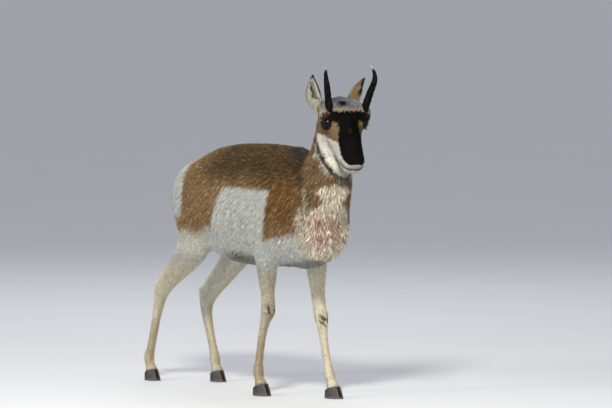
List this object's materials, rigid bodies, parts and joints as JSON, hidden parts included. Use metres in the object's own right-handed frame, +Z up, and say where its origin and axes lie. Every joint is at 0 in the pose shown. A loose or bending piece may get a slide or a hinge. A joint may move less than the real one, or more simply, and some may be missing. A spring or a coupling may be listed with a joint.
{
  "type": "pronghorn",
  "caption": "Life-size still model of a young pronghorn buck, walking stance, head turned to its right.",
  "frame": {"origin": "on the floor under the middle of the bounding box", "axes": "+Z up, -Y towards the animal's front, +X towards its left side"},
  "size_m": [0.3394, 1.2624, 1.1471],
  "materials": {
    "fur_body": "matte",
    "fur_legs": "matte",
    "fur_white": "matte",
    "horn": "satin",
    "hoof": "satin",
    "eye": "gloss"
  },
  "bodies": {
    "root": {"ear_left": "fur_body", "ear_right": "fur_body", "eye_left": "eye", "eye_right": "eye", "fore_cannon_left": "fur_legs", "fore_cannon_right": "fur_legs", "fore_leg_left": "fur_legs", "fore_leg_right": "fur_legs", "head": "fur_body", "hind_cannon_left": "fur_legs", "hind_cannon_right": "fur_legs", "hind_leg_left": "fur_legs", "hind_leg_right": "fur_legs", "hoof_fore_left_inner": "hoof", "hoof_fore_left_outer": "hoof", "hoof_fore_right_inner": "hoof", "hoof_fore_right_outer": "hoof", "hoof_hind_left_inner": "hoof", "hoof_hind_left_outer": "hoof", "hoof_hind_right_inner": "hoof", "hoof_hind_right_outer": "hoof", "horn_left": "horn", "horn_right": "horn", "neck": "fur_body", "tail": "fur_white", "torso": "fur_body"}
  },
  "joints": []
}
